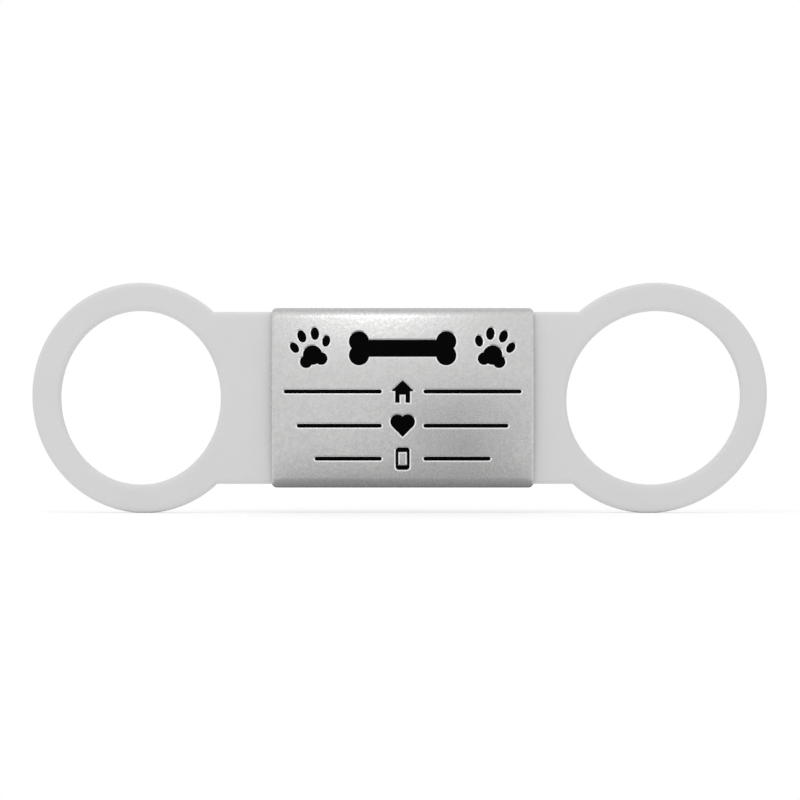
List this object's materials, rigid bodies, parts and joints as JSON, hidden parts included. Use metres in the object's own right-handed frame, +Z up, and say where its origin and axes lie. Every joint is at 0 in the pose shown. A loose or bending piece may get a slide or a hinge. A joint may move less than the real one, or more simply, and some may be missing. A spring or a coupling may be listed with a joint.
{
  "type": "pet id tag",
  "caption": "Slide-on pet collar tag: a flat silicone band with a ring loop at each end carries a folded steel name sleeve, engraved with plain symbols and lines, that slides along the strap.",
  "frame": {"origin": "middle of the band's length and height, on the plane of the sleeve's back, which lies on the collar", "axes": "+X along the band to the right as seen from the front, +Y towards the collar (the front faces -Y), +Z up as the tag is worn"},
  "size_m": [0.0844, 0.0032, 0.0264],
  "materials": {
    "silicone": "matte moulded silicone, light grey",
    "steel": "satin, tumbled stainless sheet",
    "enamel": "black enamel filling the engraving"
  },
  "bodies": {
    "strap": {"strap_core": "silicone", "left_neck": "silicone", "right_neck": "silicone"},
    "left_ring": {"left_loop": "silicone"},
    "right_ring": {"right_loop": "silicone"},
    "sleeve": {"name_plate": "steel", "bone_enamel": "enamel", "paw_enamel": "enamel", "symbol_enamel": "enamel", "line_enamel": "enamel"}
  },
  "joints": [
    {"name": "sleeve_slide", "type": "slide", "parent": "strap", "child": "sleeve", "axis": [1, 0, 0], "range_m": [-0.0035, 0.0029]},
    {"name": "left_loop_fold", "type": "hinge", "parent": "strap", "child": "left_ring", "pos_m": [-0.0221, -0.00145, 0], "axis": [0, 0, -1], "range_deg": [-135, 135], "stiffness_Nm_per_rad": 0.0018, "deforming": ["left_neck"]},
    {"name": "right_loop_fold", "type": "hinge", "parent": "strap", "child": "right_ring", "pos_m": [0.0221, -0.00145, 0], "axis": [0, 0, 1], "range_deg": [-135, 135], "stiffness_Nm_per_rad": 0.0018, "deforming": ["right_neck"]}
  ]
}
